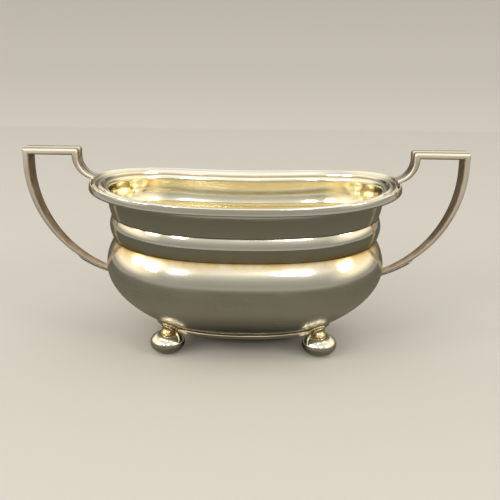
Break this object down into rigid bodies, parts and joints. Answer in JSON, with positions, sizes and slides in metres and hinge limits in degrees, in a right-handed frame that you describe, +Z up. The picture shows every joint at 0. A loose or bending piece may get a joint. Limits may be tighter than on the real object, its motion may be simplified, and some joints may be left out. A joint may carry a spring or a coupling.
{
  "type": "sugar bowl",
  "caption": "Oblong silver sugar bowl with a boat-shaped moulded rim, a convex band, a swelling belly, angular strap handles and ball feet.",
  "frame": {"origin": "on the surface the bowl stands on, under the centre of the bowl", "axes": "+X along the two handles towards the right handle, +Y across the bowl towards its back, +Z up"},
  "size_m": [0.202, 0.084, 0.0924],
  "materials": {
    "silver": "polished silver with fine wear",
    "gilt": "worn gilt wash"
  },
  "bodies": {
    "root": {"belly_shell": "silver", "collar": "silver", "rim_moulding": "silver", "base_plate": "gilt", "base_ring": "silver", "left_handle_bar": "silver", "left_handle_arm": "silver", "left_handle_scroll": "silver", "left_handle_tongue": "silver", "right_handle_bar": "silver", "right_handle_arm": "silver", "right_handle_scroll": "silver", "right_handle_tongue": "silver", "foot_front_left_plate": "silver", "foot_front_left_neck": "silver", "foot_front_left_upper": "silver", "foot_front_left_lower": "silver", "foot_front_right_plate": "silver", "foot_front_right_neck": "silver", "foot_front_right_upper": "silver", "foot_front_right_lower": "silver", "foot_back_left_plate": "silver", "foot_back_left_neck": "silver", "foot_back_left_upper": "silver", "foot_back_left_lower": "silver", "foot_back_right_plate": "silver", "foot_back_right_neck": "silver", "foot_back_right_upper": "silver", "foot_back_right_lower": "silver"}
  },
  "joints": []
}
